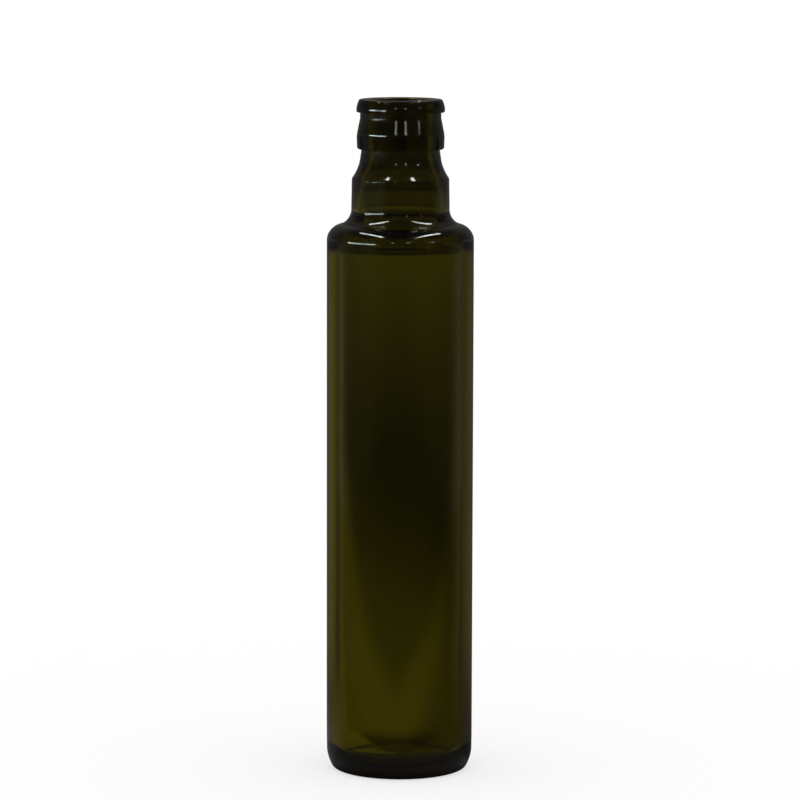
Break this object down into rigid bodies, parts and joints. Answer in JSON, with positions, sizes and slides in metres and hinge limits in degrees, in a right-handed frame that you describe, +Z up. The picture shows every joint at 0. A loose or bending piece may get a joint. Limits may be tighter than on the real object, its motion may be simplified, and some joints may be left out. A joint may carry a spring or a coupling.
{
  "type": "oil bottle",
  "caption": "Tall empty oil bottle in dark olive glass: straight round body, rounded shoulder, stepped neck with a bead, and an open rounded lip.",
  "frame": {"origin": "centre of the base, on the plane that the standing ring rests on", "axes": "+Z up along the bottle's axis to the mouth; the pictured side faces -Y, with +X to its right"},
  "size_m": [0.05, 0.05, 0.2306],
  "materials": {
    "olive_glass": "smooth moulded glass, dark olive, glossy and clear enough to see through in thin parts"
  },
  "bodies": {
    "root": {"bottle": "olive_glass"}
  },
  "joints": []
}
